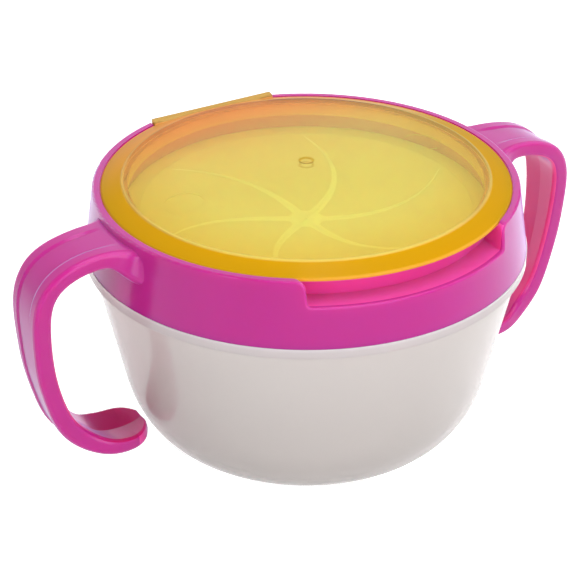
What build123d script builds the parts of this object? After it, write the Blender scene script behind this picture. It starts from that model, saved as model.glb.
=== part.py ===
from build123d import *
import math
import os

# Lidded snack bowl for a small child, in millimetres, standing on Z = 0 with its axis on Z.
# The handles lie on +X and -X, the lid's hinge at +Y and the thumb notch at -Y.
# The lid's radius and the heights of the collar set the sizes of the pieces round them.

# Lid: a flat band round a shallow dome, and a plug under it that drops into the collar
lid_r = 55.0
lid_edge = 0.9
lid_gap = 0.3
lid_t = 1.5
band_w = 5.7
disc_rise = 1.5
disc_step = 0.35
dome_rise = 3.7
rest_w = 1.8
edge_ease = 0.4
plug_t = 1.4
plug_depth = 2.2
gate_r = 1.9
gate_depth = 0.25
ejector_r = 5.2
ejector_in = 12.3
ejector_depth = 0.2

# Collar: a hollow ring with the lid's seat on top and a skirt over the bowl's lip
seat_z = 57.4
collar_h = 17.6
rim_w = 1.9
rim_round = 0.6
collar_lean = 2.5
skirt_t = 1.9
deck_w = 5.9
deck_t = 2.0
upstand_t = 1.55
ledge_w = 2.6
ledge_t = 1.4
ledge_drop = 7.6

# Thumb notch in the collar's front
notch_half = 29.0
notch_depth = 6.7
notch_lean = 0.3
notch_round = 2.0
notch_foot_round = 0.7

# Bowl: the wall leans out from a rounded foot to a flange that carries the collar
wall = 1.6
floor_t = 2.0
neck_in = 0.6
knee_in = 8.3
knee_z = 20.8
knee_turn = 12.0
foot_turn_in = 8.8
foot_in = 16.0
foot_ring_w = 5.0
foot_recess = 0.8
flange_h = 2.7
flange_out = 0.2
lip_t = 0.9
lip_gap = 0.3
lip_top_gap = 0.7
bead_up = 4.6
bead_h = 0.5

# Lid hinge: a barrel along the lid's back edge turns on two stub pins of the collar
hinge_in = 2.2
hinge_drop = 0.9
barrel_r = 2.0
barrel_half = 19.2
barrel_round = 2.2
barrel_neck = 1.6
barrel_root = 0.5
pin_r = 0.8
pin_gap = 0.06
pin_len = 2.9
pin_root = 1.0
hinge_gap = 0.3

# Membrane: a shallow dish whose six flaps are split by curved slits
skin_t = 1.2
skin_gap = 0.3
dish_in = 4.9
dish_depth = 4.8
flaps = 6
slit_in = 1.5
slit_over = 0.6
slit_twist = 30.5
slit_power = 1.85
slit_taper = 1.5
slit_w_end = 0.5
slit_w_hub = 2.1
slit_points = 8
hub_r = 2.8
root_gap = 0.4
corner_r = 6.0

# Handles: one open hook each, from under the collar's rim to a spoon-shaped end.
# Each row is a cross-section: how far its middle lies outside the collar's bottom edge and
# below the collar's top, its half width, and its thickness.
handle_rows = [
    (-6.2, 6.4, 17.5, 9.2),
    (-3.2, 5.9, 14.0, 8.6),
    (-1.2, 5.1, 11.2, 7.2),
    (1.0, 4.3, 9.7, 5.6),
    (3.6, 3.8, 9.0, 4.6),
    (7.4, 4.0, 8.6, 4.4),
    (12.6, 5.2, 8.5, 4.4),
    (17.8, 8.3, 8.3, 4.5),
    (20.6, 13.0, 7.8, 4.8),
    (21.5, 18.6, 7.3, 5.0),
    (21.4, 25.8, 6.7, 5.0),
    (20.6, 34.4, 6.1, 5.1),
    (18.6, 43.5, 5.8, 5.0),
    (15.0, 52.3, 5.9, 5.3),
    (9.6, 57.8, 6.7, 5.1),
    (5.3, 59.8, 8.1, 4.6),
    (0.5, 60.6, 8.6, 4.1),
    (-3.3, 60.4, 8.2, 3.8),
    (-6.3, 59.9, 6.2, 3.5),
    (-8.1, 59.5, 3.2, 3.2),
]
handle_start = (1.0, 0.2)
handle_end = (-1.0, 0.22)
edge_share = 0.26
root_w = 9.0
rib_half = 0.5
rib_slope = 0.06
rib_h = 0.4
spoon_drop = 57.0
spoon_fade = 2.6
spoon_h = 1.3
spoon_end_w = 4.0
spoon_end_fade = 3.0
face_h = 0.3

# A point this near to a face or a corner counts as on it
near = 0.01

seat_r = lid_r + lid_gap
disc_r = lid_r - band_w
ejector_x = disc_r - ejector_in
collar_z = seat_z + collar_h
deck_z = collar_z - lid_edge
collar_top_r = seat_r + rim_w
collar_bottom_r = collar_top_r + collar_lean
bore_r = seat_r - deck_w
upstand_r = bore_r + upstand_t
ledge_r = bore_r - ledge_w
ledge_z = deck_z - ledge_drop
notch_z = collar_z - notch_depth
wall_top_r = collar_bottom_r - neck_in
knee_r = wall_top_r - knee_in
foot_turn_r = knee_r - foot_turn_in
foot_r = foot_turn_r - foot_in
foot_recess_r = foot_r - foot_ring_w
flange_r = collar_bottom_r + flange_out
flange_z = seat_z - flange_h
lip_z = notch_z - deck_t - lip_top_gap
bead_z = seat_z + bead_up
hinge_y = lid_r - hinge_in
hinge_z = collar_z - hinge_drop
hinge_floor = hinge_z - barrel_r - hinge_gap
back_edge_y = hinge_y - barrel_neck
ear_x = barrel_half + hinge_gap
dish_r = bore_r - dish_in
slit_end_r = dish_r - slit_in
apothem = slit_end_r * math.cos(math.pi / flaps)
tall = 2 * collar_z


def revolve_outline(points):
    """A solid of revolution about Z from a closed outline of (radius, height) corners."""
    return revolve(make_face(Plane.XZ * Polyline(*points, close=True)), Axis.Z)


def cap_arc(axis_z, edge_r, edge_z):
    """The arc of a shallow round cap, level where it crosses the axis."""
    return TangentArc((0, axis_z), (edge_r, edge_z), tangent=(1, 0))


def ring(inner, outer, low, high):
    """A plain ring about Z between two radii and two heights."""
    return revolve_outline([(inner, low), (outer, low), (outer, high), (inner, high)])


def block(x0, x1, y0, y1, z0, z1):
    """A box given by its limits along X, Y and Z."""
    centre = Location(((x0 + x1) / 2, (y0 + y1) / 2, (z0 + z1) / 2))
    return centre * Box(x1 - x0, y1 - y0, z1 - z0)


def cylinder_x(radius, end_a, end_b, y, z):
    """A cylinder along X between two ends, given in either order."""
    start = min(end_a, end_b)
    plane = Plane((start, y, z), x_dir=(0, 1, 0), z_dir=(1, 0, 0))
    return plane * extrude(Circle(radius), abs(end_b - end_a))


def post(radius, x=0.0):
    """A cylinder along Z, longer than the part is tall."""
    return Pos(x, 0, 0) * Cylinder(radius, 2 * tall)


def collar_outer_r(z):
    """The collar leans in from its bottom edge to its rim."""
    return collar_bottom_r - collar_lean * (z - seat_z) / collar_h


def skirt_inner_r(z):
    return collar_outer_r(z) - skirt_t


def bead(gap):
    """The ridge round the bowl's lip, and with no gap the groove that it snaps into."""
    face_r = skirt_inner_r(bead_z) - gap
    root_r = face_r - 2 * bead_h
    slope = bead_h + gap
    return revolve_outline([(root_r, bead_z - slope), (face_r, bead_z - bead_h), (face_r + bead_h, bead_z),
                            (face_r, bead_z + bead_h), (root_r, bead_z + slope)])


def bowl_form(inset, bottom):
    """The bowl's outer form, or its inside when inset by the wall."""
    knee = (knee_r - inset, knee_z)
    lean = knee_in / (seat_z - knee_z)
    turn = (knee[0] - lean * knee_turn, knee_z - knee_turn)
    foot = (foot_r - inset, bottom)
    curve = Bezier(foot, (foot_turn_r - inset, bottom), turn, knee)
    sides = Polyline(knee, (wall_top_r - inset, seat_z), (0, seat_z), (0, bottom), foot)
    return revolve(make_face(Plane.XZ * (curve + sides)), Axis.Z)


def make_bowl():
    low_out = skirt_inner_r(seat_z) - lip_gap
    top_out = skirt_inner_r(lip_z) - lip_gap
    lip_inner_r = top_out - lip_t
    lip = revolve_outline([(lip_inner_r, flange_z), (low_out, flange_z), (low_out, seat_z),
                           (top_out, lip_z), (lip_inner_r, lip_z)])
    body = bowl_form(0, 0) + ring(lip_inner_r, flange_r, flange_z, seat_z) + lip + bead(lip_gap)
    well = bowl_form(wall, floor_t) & post(lip_inner_r)
    mouth = ring(0, lip_inner_r, flange_z, tall)
    recess = ring(0, foot_recess_r, -tall, foot_recess)
    return body - well - mouth - recess


def rounded_corner(x, y, ease):
    """Four points round one corner of a section, at the ends and the thirds of its arc."""
    centre = (x - math.copysign(ease, x), y - math.copysign(ease, y))
    turns = [math.radians(angle) for angle in (0, 30, 60, 90)]
    return [(centre[0] + math.copysign(ease * math.cos(turn), x),
             centre[1] + math.copysign(ease * math.sin(turn), y)) for turn in turns]


def share_of(value):
    """The value held between 0 and 1."""
    return max(0.0, min(1.0, value))


def handle_section(plane, half, thick, hollow, groove):
    """One cross-section of the handle: ribbed outside, hollowed inside, with round edges."""
    out = thick / 2
    ease = edge_share * thick
    rib = rib_half * half
    slope = rib_slope * half
    outer = [(rib + slope, out), (rib - slope, out - groove),
             (slope - rib, out - groove), (-rib - slope, out)]
    points = rounded_corner(half, out, ease) + outer
    points += rounded_corner(-half, out, ease)[::-1] + rounded_corner(-half, -out, ease)
    points += [(0, hollow - out)] + rounded_corner(half, -out, ease)[::-1]
    return make_face(plane * Polyline(*points, close=True))


def make_handle():
    """The hook on the +X side, lofted through its cross-sections."""
    points = [Vector(collar_bottom_r + row[0], 0, collar_z - row[1]) for row in handle_rows]
    ahead = [Vector(handle_start[0], 0, handle_start[1])]
    ahead += [after - before for before, after in zip(points, points[2:])]
    ahead.append(Vector(handle_end[0], 0, handle_end[1]))
    sections = []
    for point, direction, (reach, drop, half, thick) in zip(points, ahead, handle_rows):
        plane = Plane(point, x_dir=(0, 1, 0), z_dir=direction)
        low = share_of((drop - spoon_drop) / spoon_fade)
        hollow = face_h + (spoon_h - face_h) * low * share_of((half - spoon_end_w) / spoon_end_fade)
        groove = rib_h * (1 - low) * (1 - share_of(half - root_w))
        sections.append(handle_section(plane, half, thick, hollow, groove))
    return loft(sections)


def channel(low, high):
    """The hollow between the collar's inner wall and its skirt."""
    return revolve_outline([(upstand_r, low), (skirt_inner_r(low), low),
                            (skirt_inner_r(high), high), (upstand_r, high)])


def notch_tool():
    """The thumb notch: a level floor between leaning ends that are round at their foot and at the rim."""
    lean_x = notch_half + notch_lean
    rim_x = lean_x + notch_round
    feet = [(-notch_half, notch_z), (notch_half, notch_z)]
    shoulders = [(lean_x, collar_z), (-lean_x, collar_z)]
    top = [(rim_x, collar_z), (rim_x, tall), (-rim_x, tall), (-rim_x, collar_z)]
    face = make_face(Plane.XZ * Polyline(*feet, shoulders[0], *top, shoulders[1], close=True))
    for corners, radius in ((feet, notch_foot_round), (shoulders, notch_round)):
        spots = [Vector(x, 0, z) for x, z in corners]
        picked = [v for v in face.vertices() if min((v.center() - spot).length for spot in spots) < near]
        face = fillet(picked, radius)
    prism = extrude(face, 2 * collar_bottom_r, dir=(0, -1, 0))
    return prism - post(upstand_r)


def hinge_pocket():
    """The space in the rim round the lid's barrel."""
    return block(-ear_x, ear_x, hinge_y - barrel_r - hinge_gap, collar_bottom_r, hinge_floor, tall)


def collar_hollow():
    """The channel under the deck, kept shallower under the notch and the hinge."""
    notch_reach = notch_half + notch_lean + notch_round + deck_t
    hollow = channel(seat_z - skirt_t, deck_z - deck_t)
    hollow -= block(-notch_reach, notch_reach, -collar_bottom_r, 0, notch_z - deck_t, tall)
    hinge_reach = ear_x + pin_root + deck_t
    hollow -= block(-hinge_reach, hinge_reach, 0, collar_bottom_r, hinge_floor - deck_t, tall)
    return hollow


def rim_edges(body):
    """The edges round the collar's outer face, along the rim and down through the notch."""
    def on_face(edge):
        points = [edge @ share for share in (0, 0.5, 1)]
        return all(abs(math.hypot(p.X, p.Y) - collar_outer_r(p.Z)) < near for p in points)
    return [edge for edge in body.edges() if on_face(edge) and edge.center().Z > seat_z + rim_round]


def make_collar():
    ledge_low = ledge_z - ledge_t
    body = revolve_outline([
        (ledge_r, ledge_low), (ledge_r, ledge_z), (bore_r, ledge_z), (bore_r, deck_z),
        (seat_r, deck_z), (seat_r, collar_z), (collar_top_r, collar_z), (collar_bottom_r, seat_z),
        (skirt_inner_r(seat_z), seat_z), (skirt_inner_r(ledge_low), ledge_low)])
    body -= notch_tool()
    body = fillet(rim_edges(body), rim_round)
    hook = make_handle()
    body = body + hook + mirror(hook, Plane.YZ)
    body -= ring(0, seat_r, deck_z, tall)
    body -= collar_hollow()
    body -= bead(0)
    body -= hinge_pocket()
    for side in (-1, 1):
        body += cylinder_x(pin_r, side * (ear_x - pin_len), side * (ear_x + pin_root), hinge_y, hinge_z)
    return body


def make_lid():
    crown = collar_z + disc_rise + disc_step
    top = crown + dome_rise
    under = crown - lid_t
    under_top = under + dome_rise
    plug_r = bore_r - lid_gap
    plug_in = plug_r - plug_t
    plug_z = deck_z - plug_depth
    face = (Polyline((0, under_top), (0, top)) + cap_arc(top, disc_r, crown)
            + Polyline((disc_r, crown), (disc_r + disc_step, crown - disc_step),
                       (lid_r - edge_ease, collar_z), (lid_r, collar_z - edge_ease),
                       (lid_r, deck_z), (lid_r - rest_w, deck_z),
                       (plug_r, under - disc_step), (plug_r, plug_z), (plug_in, plug_z), (plug_in, under))
            + cap_arc(under_top, plug_in, under))
    lid = revolve(make_face(Plane.XZ * face), Axis.Z)
    vault_face = Polyline((plug_in, under), (0, under), (0, under_top)) + cap_arc(under_top, plug_in, under)
    vault = Pos(0, 0, ejector_depth) * revolve(make_face(Plane.XZ * vault_face), Axis.Z)
    lid -= block(-lid_r, lid_r, back_edge_y, lid_r + lid_edge, -tall, tall)
    barrel = cylinder_x(barrel_r, -barrel_half, barrel_half, hinge_y, hinge_z)
    barrel += block(-barrel_half, barrel_half, back_edge_y - barrel_root, hinge_y, deck_z, collar_z)
    outline = RectangleRounded(2 * barrel_half, 2 * (hinge_y + barrel_r), barrel_round)
    lid += barrel & extrude(outline, tall)
    for side in (-1, 1):
        bore_end = side * (ear_x - pin_len - hinge_gap)
        lid -= cylinder_x(pin_r + pin_gap, bore_end, side * ear_x, hinge_y, hinge_z)
        lid -= vault & post(ejector_r, side * ejector_x)
    lid -= Pos(0, 0, top) * Cylinder(gate_r, 2 * gate_depth)
    return lid


def slit_point(k, radius, side):
    """A point on one edge of slit k; side is 1 or -1 across the slit."""
    share = radius / slit_end_r
    angle = math.radians(360 / flaps * k - slit_twist * (1 - share ** slit_power))
    taper = max(0.0, 1 - share) ** slit_taper
    angle += side * (slit_w_end + (slit_w_hub - slit_w_end) * taper) / (2 * radius)
    return (radius * math.cos(angle), radius * math.sin(angle))


def slit_outline(k):
    """One curved slit, wide at the hub and narrow at its end."""
    start = hub_r - slit_over
    step = (slit_end_r + slit_over - start) / (slit_points - 1)
    radii = [start + step * i for i in range(slit_points)]
    left = [slit_point(k, radius, 1) for radius in radii]
    right = [slit_point(k, radius, -1) for radius in reversed(radii)]
    return make_face(Spline(*left) + Line(left[-1], right[0]) + Spline(*right) + Line(right[-1], left[0]))


def membrane_skin():
    """The whole dish before it is slit: a flat border round a shallow hollow."""
    border = bore_r - skin_gap
    top = ledge_z + skin_t
    face = (Polyline((0, ledge_z - dish_depth), (0, top - dish_depth))
            + cap_arc(top - dish_depth, dish_r, top)
            + Polyline((dish_r, top), (border, top), (border, ledge_z), (dish_r, ledge_z))
            + cap_arc(ledge_z - dish_depth, dish_r, ledge_z))
    return revolve(make_face(Plane.XZ * face), Axis.Z)


def hexagon(apothem_r):
    """A tall prism with the hinge lines of the flaps as its sides."""
    corner = apothem_r / math.cos(math.pi / flaps)
    return extrude(RegularPolygon(corner, flaps), tall)


def corner_rounds(radius):
    """Round posts on the corners of the hinge lines, where the border keeps the slits' ends."""
    return [place * post(radius) for place in PolarLocations(slit_end_r, flaps)]


def turn_of(solid):
    """The angle about Z at which a solid's centre lies, from 0 to a full turn."""
    centre = solid.center()
    return math.atan2(centre.Y, centre.X) % (2 * math.pi)


def make_membrane():
    """The border that stays on the collar, and the flaps in order of their angle."""
    skin = membrane_skin()
    slits = [extrude(slit_outline(k), tall) for k in range(flaps)]
    border = skin - (hexagon(apothem + root_gap / 2) - corner_rounds(corner_r)) - slits
    middle = (skin & hexagon(apothem - root_gap / 2)) - corner_rounds(corner_r + root_gap) - slits
    middle -= post(hub_r)
    return border, sorted(middle.solids(), key=turn_of)


def save(shape, name):
    shape.label = name
    export_step(shape, "parts/" + name + ".step")


os.makedirs("parts", exist_ok=True)
save(make_bowl(), "bowl")
save(make_collar(), "handle_collar")
save(make_lid(), "lid")
membrane_border, membrane_flaps = make_membrane()
save(membrane_border, "membrane_border")
for number, flap in enumerate(membrane_flaps, start=1):
    save(flap, "membrane_flap_" + str(number))
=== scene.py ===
import bpy
import math
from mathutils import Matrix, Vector


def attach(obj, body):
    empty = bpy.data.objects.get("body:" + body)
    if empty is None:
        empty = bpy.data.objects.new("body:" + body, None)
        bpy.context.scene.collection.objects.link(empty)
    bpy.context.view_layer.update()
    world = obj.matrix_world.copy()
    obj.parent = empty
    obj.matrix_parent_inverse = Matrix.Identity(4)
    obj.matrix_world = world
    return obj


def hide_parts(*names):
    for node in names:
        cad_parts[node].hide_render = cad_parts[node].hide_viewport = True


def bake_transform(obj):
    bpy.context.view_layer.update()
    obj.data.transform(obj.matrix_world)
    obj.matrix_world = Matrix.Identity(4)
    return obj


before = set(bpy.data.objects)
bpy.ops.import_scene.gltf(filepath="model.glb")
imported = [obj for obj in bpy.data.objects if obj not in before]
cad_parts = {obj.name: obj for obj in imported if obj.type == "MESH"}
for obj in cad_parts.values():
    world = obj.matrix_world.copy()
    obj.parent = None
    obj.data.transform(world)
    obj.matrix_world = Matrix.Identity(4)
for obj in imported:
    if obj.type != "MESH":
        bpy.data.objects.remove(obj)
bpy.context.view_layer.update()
MM = 0.001

# Places, lengths and radii are in millimetres in the frame's axes, and angles in degrees
# Colours from 0 to 255 are sRGB, and those from 0 to 1 are linear

# Camera, placed and turned as the photograph shows
AIM_Z = 75.0
CAMERA_TURN = 30.4
CAMERA_TILT = 29.2
CAMERA_DISTANCE = 540.3
CAMERA_SIDE = 4.87
CAMERA_LIFT = 29.2
LENS = 126.14
SENSOR = 36.0
CLIP_NEAR = 10.0
CLIP_FAR = 20000.0

# Roughness of each surface: noise scale per metre, noise detail, lowest and highest value
PINK_ROUGHNESS = (220.0, 4.0, 0.15, 0.22)
BOWL_ROUGHNESS = (150.0, 3.0, 0.1, 0.17)
LID_ROUGHNESS = (160.0, 3.0, 0.05, 0.09)
SKIN_ROUGHNESS = (400.0, 3.0, 0.45, 0.58)

# Grain of each surface: noise scale per metre, noise detail, strength and height in metres
PINK_GRAIN = (900.0, 3.0, 0.04, 0.0001)
BOWL_GRAIN = (1400.0, 2.0, 0.04, 0.0001)
SKIN_GRAIN = (2200.0, 2.0, 0.08, 0.0001)

# Colour drift: noise scales per metre, and the span of the noise over which the colour changes
PINK_DRIFT_SCALE = 18.0
SKIN_DRIFT_SCALE = 30.0
DRIFT_FROM = 0.3
DRIFT_TO = 0.7

# Pink ring and handles
PINK = (181, 20, 128)
PINK_LOW = (178, 16, 126)
PINK_HIGH = (184, 23, 131)
PINK_GLOSS = (0.8, 0.68, 1.0)
PINK_HAZE = (0.6, 0.5, 1.0)
PINK_BLEED = (1.0, 0.15, 0.4)

# Ring zones: painted light inside its rim and on the grips' faces towards the bowl, painted shade in the
# hollows at their ends
RIM_R = 56.9
RIM_Z = 74.6
RIM_EDGE = 0.1
RIM_PAINTED_GLOW = (0.76, 0.05, 0.32)
GRIP_R = 60.5
GRIP_EDGE = 1.5
GRIP_FACING_FROM = -0.2
GRIP_FACING_TO = -0.6
GRIP_PAINTED_LIGHT = (0.8, 0.05, 0.25)
SPOON_FACING_FROM = 0.25
SPOON_FACING_TO = 0.75
SPOON_Z_NONE = 21.0
SPOON_Z_FULL = 15.0
SPOON_PAINTED_SHADE = (0.46, 0.0, 0.1)

# Frosted bowl: colours by height from its foot to its lip, painted shade low down and painted light higher
# up
BOWL_TOP = 57.4
FLANGE_Z = 54.7
FLANGE_EDGE = 0.2
BOWL_LOW_Z = 20.0
LIP_H = 0.8
FROST = (226, 217, 215)
FROST_FOOT_SHADE = (203, 196, 193)
FROST_LOW = (217, 210, 207)
FROST_TOP_LIGHT = (233, 226, 223)
# Flange: rosier where the pink ring lies on it, painted as if the ring showed through, and a painted
# highlight along the lip
FLANGE_LOW = (222, 213, 214)
FLANGE_HIGH = (230, 220, 222)
FLANGE_LIP_HIGHLIGHT = (255, 248, 252)

# Amber lid: radii and colours of its dome, gate mark and band, and how clear each is
LID_R = 55.0
DISC_R = 49.3
DISC_EDGE = 0.4
CLEAR_EDGE = 0.8
GATE_IN_R = 1.6
GATE_OUT_R = 2.0
GATE_EDGE = 0.3
DOME_MIDDLE_R = 34.0
RAMP_R = 62.0
AMBER = (232, 190, 60)
DOME_PALE = (230, 224, 148)
DOME_MIDDLE = (230, 222, 142)
DOME_RIM = (230, 210, 116)
GATE_AMBER = (190, 160, 60)
BAND_IN = (212, 162, 2)
BAND_OUT = (214, 164, 4)
# A painted highlight along the band's outer edge
BAND_LIP_HIGHLIGHT = (240, 178, 62)
CLEAR_MIDDLE = (0.8, 0.8, 0.8)
CLEAR_RIM = (0.75, 0.75, 0.75)
CLEAR_BAND = (0.3, 0.3, 0.3)

# Zones of the lid: the plug's wall, given painted light as it lies in shade, the hinge tab, and a painted
# orange glow towards the hinge
PLUG_R = 49.25
PLUG_R_EDGE = 0.05
PLUG_Z = 75.2
PLUG_Z_EDGE = 0.2
PLUG_PAINTED_LIGHT = (0.95, 0.56, 0.22)
PLUG_CLEAR = (0.2, 0.2, 0.2)
TAB_Y = 51.3
TAB_EDGE = 0.1
TAB_TINT = (0.6, 0.38, 0.1)
TAB_CLEAR = (0.5, 0.5, 0.5)
GLOW_Y_FROM = 12.0
GLOW_Y_TO = 52.0
GLOW_SHARE = 0.7
GLOW_PAINTED_TINT = (0.88, 0.38, 0.15)

# Membrane, as the CAD has it
FLAPS = 6
DISH_R = 44.5
DISH_DEPTH = 4.8
LEDGE_Z = 66.5
SKIN_T = 1.2
RIM_OUT_R = 49.1
SLIT_END_R = 43.0
SLIT_TWIST = 30.5
SLIT_POWER = 1.85
SLIT_TAPER = 1.5
SLIT_END_W = 0.5
SLIT_HUB_W = 2.1

# Petals: slits almost closed, with pale strips along them and a pale star at the hub, painted as the light
# that shows through the slits
HUB_R = 0.3
GAP_SHARE = 0.02
SLIT_LIGHT_W = 0.5
SLIT_LIGHT_LEAST = 0.05
SLIT_LIGHT_SHARE = 0.42
STAR_R = 3.8
PETAL_ACROSS = 26
PETAL_ALONG = 40
RIM_AROUND = 192
RIM_ACROSS = 4
SHARP_ANGLE = 50.0
SKIN_LOW = (226, 217, 197)
SKIN_HIGH = (231, 223, 204)
SLIT_LIGHT_LOW = (254, 252, 244)
SLIT_LIGHT_HIGH = (255, 254, 249)

# Studio: a floor and sky that the camera sees white, and soft lamps
FLOOR_HALF = 6000.0
FLOOR_COLOR = (0.6, 0.6, 0.6)
FLOOR_ROUGHNESS = 0.7
FLOOR_GLOW = 0.85
SKY = 0.27
WHITE = (1.0, 1.0, 1.0)
LAMP_AIM = (0.0, 0.0, 45.0)

# Lamps: place, power in watts, width and height in metres, and whether reflections show them
LAMPS = {
    "key_above": ((150.0, -200.0, 900.0), 7.5, (0.9, 0.9), True),
    "front_fill": ((-150.0, -900.0, 260.0), 5.0, (1.0, 0.5), True),
    "side_left": ((-900.0, -300.0, 350.0), 2.2, (0.25, 0.9), True),
    "back_fill": ((250.0, 900.0, 300.0), 4.0, (0.8, 0.5), False),
    "side_right": ((850.0, -250.0, 300.0), 1.5, (0.35, 0.9), True),
}


# Material helpers


def srgb(red, green, blue):
    """Linear colour from 0-255 sRGB."""
    def one(value):
        value /= 255.0
        return value / 12.92 if value <= 0.04045 else ((value + 0.055) / 1.055) ** 2.4
    return (one(red), one(green), one(blue))


def socket(node, name, value):
    node.inputs[name].default_value = value


def link(tree, source, out, target, into):
    tree.links.new(source.outputs[out], target.inputs[into])


def new_material(name, color, roughness, **more):
    """A principled material; the extra values are its sockets, with spaces written as underscores."""
    material = bpy.data.materials.new(name)
    material.use_nodes = True
    shader = material.node_tree.nodes["Principled BSDF"]
    socket(shader, "Base Color", (*color, 1.0))
    socket(shader, "Roughness", roughness)
    for key, value in more.items():
        socket(shader, key.replace("_", " "), value)
    return material, material.node_tree, shader


def noise(tree, scale, detail=2.0):
    """Noise in the object's own coordinates, with features of 1/scale metres."""
    coordinates = tree.nodes.new("ShaderNodeTexCoord")
    texture = tree.nodes.new("ShaderNodeTexNoise")
    socket(texture, "Scale", scale)
    socket(texture, "Detail", detail)
    link(tree, coordinates, "Object", texture, "Vector")
    return texture


def vary_color(tree, shader, scale, low, high):
    """The base colour drifts between two sRGB colours."""
    ramp = tree.nodes.new("ShaderNodeValToRGB")
    set_stops(ramp, [(DRIFT_FROM, srgb(*low)), (DRIFT_TO, srgb(*high))])
    link(tree, noise(tree, scale), "Fac", ramp, "Fac")
    link(tree, ramp, "Color", shader, "Base Color")


def vary_roughness(tree, shader, scale, detail, low, high):
    spread = tree.nodes.new("ShaderNodeMapRange")
    socket(spread, "To Min", low)
    socket(spread, "To Max", high)
    link(tree, noise(tree, scale, detail), "Fac", spread, "Value")
    link(tree, spread, "Result", shader, "Roughness")


def add_grain(tree, shader, scale, detail, strength, height):
    bump = tree.nodes.new("ShaderNodeBump")
    socket(bump, "Strength", strength)
    socket(bump, "Distance", height)
    link(tree, noise(tree, scale, detail), "Fac", bump, "Height")
    link(tree, bump, "Normal", shader, "Normal")


def set_stops(ramp, stops):
    """Gives a colour ramp its stops, each a position from 0 to 1 and a linear colour."""
    points = ramp.color_ramp.elements
    while len(points) < len(stops):
        points.new(1.0)
    for point, (position, color) in zip(points, stops):
        point.position = position
        point.color = (*color, 1.0)


def step(tree, node, out, none, full):
    """0 up to the first value and 1 from the second, soft between; the first may be the higher."""
    soft = tree.nodes.new("ShaderNodeMapRange")
    soft.interpolation_type = "SMOOTHSTEP"
    socket(soft, "From Min", none)
    socket(soft, "From Max", full)
    link(tree, node, out, soft, "Value")
    return soft


def both(tree, first, second):
    """The product of two masks."""
    product = tree.nodes.new("ShaderNodeMath")
    product.operation = "MULTIPLY"
    link(tree, first, "Result", product, 0)
    link(tree, second, "Result", product, 1)
    return product


def split_vector(tree, kind):
    """One of the texture coordinates, split into X, Y and Z."""
    coordinates = tree.nodes.new("ShaderNodeTexCoord")
    split = tree.nodes.new("ShaderNodeSeparateXYZ")
    link(tree, coordinates, kind, split, 0)
    return split


def axis_distance(tree):
    """The distance from the object's upright axis."""
    coordinates = tree.nodes.new("ShaderNodeTexCoord")
    flat = tree.nodes.new("ShaderNodeVectorMath")
    flat.operation = "MULTIPLY"
    flat.inputs[1].default_value = (1.0, 1.0, 0.0)
    length = tree.nodes.new("ShaderNodeVectorMath")
    length.operation = "LENGTH"
    link(tree, coordinates, "Object", flat, 0)
    link(tree, flat, "Vector", length, 0)
    return length


def facing_out(tree):
    """1 where a face looks straight away from the object's origin, -1 where it looks straight at it."""
    coordinates = tree.nodes.new("ShaderNodeTexCoord")
    outward = tree.nodes.new("ShaderNodeVectorMath")
    outward.operation = "NORMALIZE"
    link(tree, coordinates, "Object", outward, 0)
    product = tree.nodes.new("ShaderNodeVectorMath")
    product.operation = "DOT_PRODUCT"
    link(tree, coordinates, "Normal", product, 0)
    link(tree, outward, "Vector", product, 1)
    return product


def zone_mix(tree, mask, source, color, target, name):
    """Another colour where the mask is 1; it feeds the named socket and is returned."""
    mix = tree.nodes.new("ShaderNodeMix")
    mix.data_type = "RGBA"
    factor, below, above = mix.inputs[0], mix.inputs[6], mix.inputs[7]
    result = mix.outputs[2]
    above.default_value = (*color, 1.0)
    tree.links.new(mask.outputs[0], factor)
    tree.links.new(source, below)
    tree.links.new(result, target.inputs[name])
    return result


def radius_ramp(tree, stops):
    """Colour by distance from the object's axis: stops are a radius and a linear colour."""
    share = tree.nodes.new("ShaderNodeMapRange")
    socket(share, "From Max", RAMP_R * MM)
    ramp = tree.nodes.new("ShaderNodeValToRGB")
    link(tree, axis_distance(tree), "Value", share, "Value")
    link(tree, share, "Result", ramp, "Fac")
    set_stops(ramp, [(distance / RAMP_R, color) for distance, color in stops])
    return ramp


def height_ramp(tree, stops):
    """Colour by height up to the bowl's top: stops are a height and a linear colour."""
    height = tree.nodes.new("ShaderNodeMapRange")
    socket(height, "From Max", BOWL_TOP * MM)
    ramp = tree.nodes.new("ShaderNodeValToRGB")
    link(tree, split_vector(tree, "Object"), "Z", height, "Value")
    link(tree, height, "Result", ramp, "Fac")
    set_stops(ramp, [(z / BOWL_TOP, color) for z, color in stops])
    return ramp


# Materials


def ring_painted_light_and_shade(tree):
    """Masks of the ring's painted light and shade, each with its painted colour."""
    place = split_vector(tree, "Object")
    radius = axis_distance(tree)
    rim = both(tree, step(tree, radius, "Value", (RIM_R + RIM_EDGE) * MM, RIM_R * MM),
               step(tree, place, "Z", (RIM_Z + RIM_EDGE) * MM, RIM_Z * MM))
    grip = both(tree, step(tree, facing_out(tree), "Value", GRIP_FACING_FROM, GRIP_FACING_TO),
                step(tree, radius, "Value", GRIP_R * MM, (GRIP_R + GRIP_EDGE) * MM))
    facing_up = split_vector(tree, "Normal")
    spoon = both(tree, step(tree, facing_up, "Z", SPOON_FACING_FROM, SPOON_FACING_TO),
                 step(tree, place, "Z", SPOON_Z_NONE * MM, SPOON_Z_FULL * MM))
    return (rim, RIM_PAINTED_GLOW), (grip, GRIP_PAINTED_LIGHT), (spoon, SPOON_PAINTED_SHADE)


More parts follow.
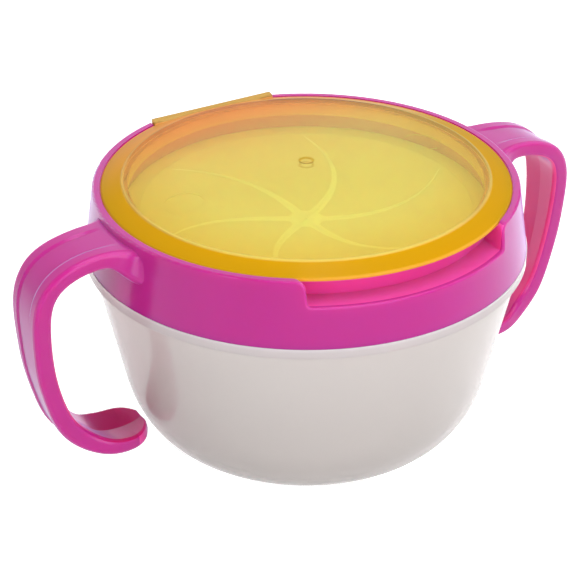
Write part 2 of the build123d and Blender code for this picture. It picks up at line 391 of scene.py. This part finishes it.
def collar_material():
    """Pink, glossy and letting some light through; brighter red painted light inside the rim and on the
    grips' faces towards the bowl, dark crimson painted shade in the grips' end hollows.
    """
    material, tree, shader = new_material(
        "pink_moulded", srgb(*PINK), roughness=0.18, Specular_IOR_Level=0.42,
        Subsurface_Weight=0.6, Subsurface_Radius=PINK_BLEED, Subsurface_Scale=0.008,
        Sheen_Weight=0.65, Sheen_Roughness=0.4)
    socket(shader, "Sheen Tint", (*PINK_HAZE, 1.0))
    socket(shader, "Specular Tint", (*PINK_GLOSS, 1.0))
    vary_color(tree, shader, PINK_DRIFT_SCALE, PINK_LOW, PINK_HIGH)
    color = shader.inputs["Base Color"].links[0].from_socket
    # Painted light inside the rim and on the grips' inner faces, painted shade in the hollows at the
    # grips' ends
    for mask, tint in ring_painted_light_and_shade(tree):
        color = zone_mix(tree, mask, color, tint, shader, "Base Color")
    vary_roughness(tree, shader, *PINK_ROUGHNESS)
    add_grain(tree, shader, *PINK_GRAIN)
    return material


def bowl_material():
    """Frosted and translucent, with painted shade towards the foot and painted light towards the top, a
    rosier flange where the pink ring lies on it, painted as if the ring showed through, and a painted
    highlight along the lip.
    """
    material, tree, shader = new_material(
        "frosted_translucent", srgb(*FROST), roughness=0.13, Transmission_Weight=0.42, IOR=1.3,
        Subsurface_Weight=0.3, Subsurface_Radius=(1.0, 1.0, 1.0), Subsurface_Scale=0.004)
    # Painted shade towards the foot, painted light towards the top, the ring's pink painted on the flange,
    # a painted highlight on the lip
    ramp = height_ramp(tree, [
        (0.0, srgb(*FROST_FOOT_SHADE)),
        (BOWL_LOW_Z, srgb(*FROST_LOW)),
        (FLANGE_Z, srgb(*FROST_TOP_LIGHT)),
        (FLANGE_Z + FLANGE_EDGE, srgb(*FLANGE_LOW)),
        (BOWL_TOP - LIP_H, srgb(*FLANGE_HIGH)),
        (BOWL_TOP, srgb(*FLANGE_LIP_HIGHLIGHT))])
    link(tree, ramp, "Color", shader, "Base Color")
    vary_roughness(tree, shader, *BOWL_ROUGHNESS)
    add_grain(tree, shader, *BOWL_GRAIN)
    return material


def lid_tint(tree):
    """Pale over the dome, with the gate mark's darker ring at its middle, and amber round the edge with a
    painted highlight at its outer edge.
    """
    return radius_ramp(tree, [
        (0.0, srgb(*DOME_PALE)),
        (GATE_IN_R - GATE_EDGE, srgb(*DOME_PALE)),
        (GATE_IN_R, srgb(*GATE_AMBER)),
        (GATE_OUT_R, srgb(*GATE_AMBER)),
        (GATE_OUT_R + GATE_EDGE, srgb(*DOME_PALE)),
        (DOME_MIDDLE_R, srgb(*DOME_MIDDLE)),
        (DISC_R, srgb(*DOME_RIM)),
        (DISC_R + DISC_EDGE, srgb(*BAND_IN)),
        (LID_R - DISC_EDGE, srgb(*BAND_OUT)),
        # Painted highlight at the outer edge
        (LID_R, srgb(*BAND_LIP_HIGHLIGHT))])


def lid_material():
    """See-through over the dome, deep amber where the plastic is thick round the edge, less clear with
    painted light in the plug's wall under it, a painted orange glow towards the hinge, and half clear at
    the hinge."""
    material, tree, shader = new_material(
        "amber_clear", srgb(*AMBER), roughness=0.06, IOR=1.03, Coat_Weight=0.12, Coat_Roughness=0.15)
    clear = radius_ramp(tree, [
        (0.0, CLEAR_MIDDLE), (DISC_R - CLEAR_EDGE, CLEAR_RIM), (DISC_R + DISC_EDGE, CLEAR_BAND)])
    place = split_vector(tree, "Object")
    radius = axis_distance(tree)
    # The plug's wall under the dome lies in shade, so light is painted on it
    plug = both(tree, step(tree, radius, "Value", (PLUG_R + PLUG_R_EDGE) * MM, PLUG_R * MM),
                step(tree, place, "Z", (PLUG_Z + PLUG_Z_EDGE) * MM, PLUG_Z * MM))
    tab = step(tree, place, "Y", (TAB_Y - TAB_EDGE) * MM, TAB_Y * MM)
    # A painted orange glow towards the hinge, for the pink ring seen through the lid
    glow = step(tree, place, "Y", GLOW_Y_FROM * MM, GLOW_Y_TO * MM)
    socket(glow, "To Max", GLOW_SHARE)
    color = lid_tint(tree).outputs["Color"]
    for mask, tint in ((glow, GLOW_PAINTED_TINT), (plug, PLUG_PAINTED_LIGHT), (tab, TAB_TINT)):
        color = zone_mix(tree, mask, color, tint, shader, "Base Color")
    share = clear.outputs["Color"]
    for mask, amount in ((plug, PLUG_CLEAR), (tab, TAB_CLEAR)):
        share = zone_mix(tree, mask, share, amount, shader, "Transmission Weight")
    vary_roughness(tree, shader, *LID_ROUGHNESS)
    return material


def skin_material(name, low, high):
    """Soft rubber, dull and a little translucent."""
    material, tree, shader = new_material(
        name, srgb(*low), roughness=0.5, Specular_IOR_Level=0.3,
        Subsurface_Weight=0.4, Subsurface_Scale=0.004)
    vary_color(tree, shader, SKIN_DRIFT_SCALE, low, high)
    vary_roughness(tree, shader, *SKIN_ROUGHNESS)
    add_grain(tree, shader, *SKIN_GRAIN)
    return material


def paint(node, material):
    """Puts one material on a CAD node."""
    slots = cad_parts[node].material_slots
    for entry in slots:
        entry.material = material
    if not slots:
        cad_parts[node].data.materials.append(material)


# Membrane


def dish_z(radius):
    """Height of the membrane's underside: a shallow dish, flat from its edge outwards."""
    ball = (DISH_R ** 2 + DISH_DEPTH ** 2) / (2 * DISH_DEPTH)
    if radius >= DISH_R:
        return LEDGE_Z
    return LEDGE_Z - DISH_DEPTH + ball - math.sqrt(ball ** 2 - radius ** 2)


def slit_half(radius):
    """Half width of a slit, which is widest at the hub and ends before the dish's edge."""
    if radius >= SLIT_END_R:
        return 0.0
    return (SLIT_END_W + (SLIT_HUB_W - SLIT_END_W) * (1 - radius / SLIT_END_R) ** SLIT_TAPER) / 2


def slit_angle(k, radius):
    """Direction of slit k's middle at this radius."""
    share = min(1.0, radius / SLIT_END_R)
    return math.radians(360 / FLAPS * k - SLIT_TWIST * (1 - share ** SLIT_POWER))


def new_mesh(name, points, faces, material, smooth=True):
    mesh = bpy.data.meshes.new(name)
    mesh.from_pydata([tuple(c * MM for c in point) for point in points], [], faces)
    mesh.validate()
    mesh.update()
    piece = bpy.data.objects.new(name, mesh)
    bpy.context.scene.collection.objects.link(piece)
    mesh.materials.append(material)
    for face in mesh.polygons:
        face.use_smooth = smooth
    mesh.set_sharp_from_angle(angle=math.radians(SHARP_ANGLE))
    return piece


def skin_points(rows):
    """The rows of (x, y) points at the dish's underside, and again at its top."""
    return [(x, y, dish_z(math.hypot(x, y)) + lift)
            for lift in (0.0, SKIN_T) for row in rows for x, y in row]


def skin_solid(name, rows, material):
    """A closed skin of the membrane's thickness over a grid of (x, y) points."""
    count = len(rows[0])
    under = len(rows) * count

    def at(i, j, layer):
        return layer * under + i * count + j
    faces = []
    for i in range(len(rows) - 1):
        for j in range(count - 1):
            corners = (i, j), (i, j + 1), (i + 1, j + 1), (i + 1, j)
            faces.append([at(*corner, 1) for corner in reversed(corners)])
            faces.append([at(*corner, 0) for corner in corners])
    last = len(rows) - 1
    edge = [(0, j) for j in range(count)]
    edge += [(i, count - 1) for i in range(1, len(rows))]
    edge += [(last, j) for j in range(count - 2, -1, -1)]
    edge += [(i, 0) for i in range(last - 1, 0, -1)]
    for p, q in zip(edge, edge[1:] + edge[:1]):
        faces.append([at(*q, 0), at(*p, 0), at(*p, 1), at(*q, 1)])
    return new_mesh(name, skin_points(rows), faces, material)


def skin_ring(name, rows, material):
    """As skin_solid, for a grid that closes on itself round the axis."""
    count = len(rows[0])
    under = len(rows) * count
    faces = []
    for i in range(len(rows)):
        last = i == len(rows) - 1
        for j in range(count):
            here = i * count + j
            beside = i * count + (j + 1) % count
            if not last:
                corners = here, beside, beside + count, here + count
                faces.append([corner + under for corner in reversed(corners)])
                faces.append(list(corners))
            if i == 0 or last:
                wall = [here, beside, beside + under, here + under]
                faces.append(wall[::-1] if i == 0 else wall)
    return new_mesh(name, skin_points(rows), faces, material)


def petal_row(k, radius):
    """One row of petal k's points, from slit to slit, with a narrow column at each end for the light
    painted along the slit.
    """
    gap = GAP_SHARE * slit_half(radius) / radius
    low, high = slit_angle(k, radius) + gap, slit_angle(k + 1, radius) - gap
    lip_width = max(SLIT_LIGHT_LEAST, slit_half(radius) + SLIT_LIGHT_W * (1 - radius / DISH_R))
    lip = min(SLIT_LIGHT_SHARE, lip_width / (radius * (high - low)))
    inner = PETAL_ACROSS - 2
    shares = [0.0] + [lip + (1 - 2 * lip) * j / inner for j in range(inner + 1)] + [1.0]
    angles = [low + (high - low) * share for share in shares]
    return [(radius * math.cos(angle), radius * math.sin(angle)) for angle in angles]


def make_petal(k, material, pale):
    """The flap between slits k and k + 1, out to the dish's edge, with the light through the slits painted
    pale along them and at the hub.
    """
    rows = [petal_row(k, HUB_R + (DISH_R - HUB_R) * i / PETAL_ALONG) for i in range(PETAL_ALONG + 1)]
    petal = skin_solid(f"membrane_petal_{k + 1}", rows, material)
    petal.data.materials.append(pale)
    for i in range(PETAL_ALONG):
        for j in range(PETAL_ACROSS):
            # Pale strips along the slits and a pale star at the hub: painted light that shows through the
            # slits
            if j in (0, PETAL_ACROSS - 1) or math.hypot(*rows[i][0]) < STAR_R:
                for layer in range(2):
                    petal.data.polygons[2 * (i * PETAL_ACROSS + j) + layer].material_index = 1
    return petal


def make_rim(material):
    """The membrane's rim, from the dish's edge out to the ring's bore."""
    rows = []
    for i in range(RIM_ACROSS + 1):
        radius = DISH_R + (RIM_OUT_R - DISH_R) * i / RIM_ACROSS
        turns = [2 * math.pi * j / RIM_AROUND for j in range(RIM_AROUND)]
        rows.append([(radius * math.cos(turn), radius * math.sin(turn)) for turn in turns])
    return skin_ring("membrane_rim", rows, material)


def make_membrane(material, pale):
    """A rim that stays with the bowl and ring, and petals in place of the CAD's flaps."""
    rim = make_rim(material)
    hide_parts("membrane_border")
    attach(rim, "bowl_and_ring")
    for k in range(FLAPS):
        petal = make_petal(k, material, pale)
        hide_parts(f"membrane_flap_{k + 1}")
        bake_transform(petal)


# Studio


def make_camera():
    data = bpy.data.cameras.new("camera")
    camera = bpy.data.objects.new("camera", data)
    bpy.context.scene.collection.objects.link(camera)
    turn, tilt = math.radians(CAMERA_TURN), math.radians(CAMERA_TILT)
    ahead = Vector((math.sin(turn), math.cos(turn), 0.0))
    right = Vector((math.cos(turn), -math.sin(turn), 0.0))
    look = ahead * math.cos(tilt) + Vector((0.0, 0.0, -math.sin(tilt)))
    up = right.cross(look)
    aim = Vector((0.0, 0.0, AIM_Z))
    camera.location = (aim - look * CAMERA_DISTANCE - right * CAMERA_SIDE - up * CAMERA_LIFT) * MM
    camera.rotation_mode = "QUATERNION"
    camera.rotation_quaternion = look.to_track_quat("-Z", "Y")
    data.lens = LENS
    data.sensor_width = SENSOR
    data.clip_start, data.clip_end = CLIP_NEAR * MM, CLIP_FAR * MM
    bpy.context.scene.camera = camera


def ray_kinds(tree, *kinds):
    """1 for rays of the named kinds, 0 for the others."""
    path = tree.nodes.new("ShaderNodeLightPath")
    seen = path.outputs[kinds[0]]
    for kind in kinds[1:]:
        either = tree.nodes.new("ShaderNodeMath")
        either.operation = "MAXIMUM"
        tree.links.new(seen, either.inputs[0])
        link(tree, path, kind, either, 1)
        seen = either.outputs["Value"]
    return seen


def seen_level(tree, dim, bright):
    """The bright value where the camera sees it, straight, mirrored or through glass, else the dim one."""
    level = tree.nodes.new("ShaderNodeMapRange")
    socket(level, "To Min", dim)
    socket(level, "To Max", bright)
    seen = ray_kinds(tree, "Is Camera Ray", "Is Glossy Ray", "Is Transmission Ray")
    tree.links.new(seen, level.inputs["Value"])
    return level


def floor_material():
    """White floor: it keeps a faint shadow, and the camera sees it as the photo's white."""
    material, tree, shader = new_material("studio_white", FLOOR_COLOR, FLOOR_ROUGHNESS)
    socket(shader, "Emission Color", (*WHITE, 1.0))
    link(tree, seen_level(tree, 0.0, FLOOR_GLOW), "Result", shader, "Emission Strength")
    return material


def make_floor():
    corners = (-1, -1), (1, -1), (1, 1), (-1, 1)
    points = [(x * FLOOR_HALF, y * FLOOR_HALF, 0.0) for x, y in corners]
    floor = new_mesh("studio_floor", points, [[0, 1, 2, 3]], floor_material(), smooth=False)


def make_sky():
    """An even sky that lights the object at a plain level, and that the camera sees white."""
    world = bpy.data.worlds.new("studio_world")
    bpy.context.scene.world = world
    world.use_nodes = True
    tree = world.node_tree
    background = tree.nodes["Background"]
    socket(background, "Color", (*WHITE, 1.0))
    link(tree, seen_level(tree, SKY, 1.0), "Result", background, "Strength")


def make_lamp(name, spot, power, size, mirrored):
    data = bpy.data.lights.new(name, "AREA")
    data.energy = power
    data.shape = "RECTANGLE"
    data.size, data.size_y = size
    lamp = bpy.data.objects.new(name, data)
    bpy.context.scene.collection.objects.link(lamp)
    lamp.location = Vector(spot) * MM
    lamp.rotation_mode = "QUATERNION"
    lamp.rotation_quaternion = (Vector(LAMP_AIM) - Vector(spot)).to_track_quat("-Z", "Y")
    lamp.visible_glossy = mirrored


# Scene

make_camera()
paint("handle_collar", collar_material())
paint("bowl", bowl_material())
paint("lid", lid_material())
# The second material is painted light along the slits and at the hub
make_membrane(skin_material("soft_rubber", SKIN_LOW, SKIN_HIGH),
              skin_material("soft_rubber_painted_slit_light", SLIT_LIGHT_LOW, SLIT_LIGHT_HIGH))
make_floor()
make_sky()
for lamp_name, lamp_values in LAMPS.items():
    make_lamp(lamp_name, *lamp_values)
bpy.context.scene.view_settings.view_transform = "Standard"
